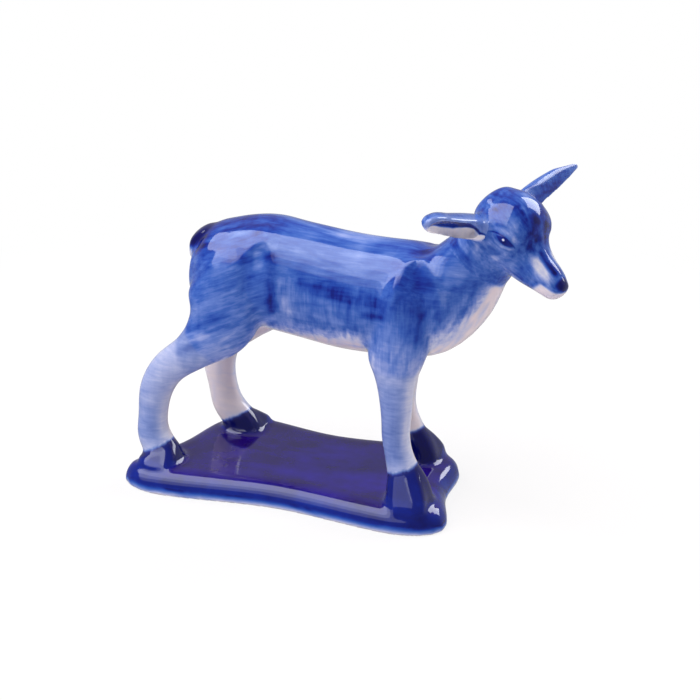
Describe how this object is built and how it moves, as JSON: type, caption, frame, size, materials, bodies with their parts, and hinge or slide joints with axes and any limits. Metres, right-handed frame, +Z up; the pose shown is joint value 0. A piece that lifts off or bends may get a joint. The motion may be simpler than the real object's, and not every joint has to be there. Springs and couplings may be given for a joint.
{
  "type": "deer figurine",
  "caption": "Glazed blue-and-white ceramic figurine of a standing young deer with its head turned, on a low waisted plinth; a free-standing ornament with a flat underside.",
  "frame": {"origin": "on the plinth's flat underside, below the middle of the deer's stance", "axes": "+X the way the deer's body faces, +Y to the deer's left, +Z up"},
  "size_m": [0.1257, 0.0621, 0.0966],
  "materials": {
    "dense_cobalt": "gloss",
    "cobalt_wash": "gloss",
    "pale_wash": "gloss"
  },
  "bodies": {
    "root": {"plinth": "dense_cobalt", "front_hoof_right": "dense_cobalt", "front_hoof_left": "dense_cobalt", "hind_hoof_left": "dense_cobalt", "hind_hoof_right": "dense_cobalt", "front_leg_right": "pale_wash", "front_leg_left": "pale_wash", "hind_leg_left": "pale_wash", "hind_leg_right": "pale_wash", "trunk": "cobalt_wash", "head": "cobalt_wash", "ear_right": "cobalt_wash", "ear_left": "cobalt_wash", "tail": "dense_cobalt"}
  },
  "joints": []
}
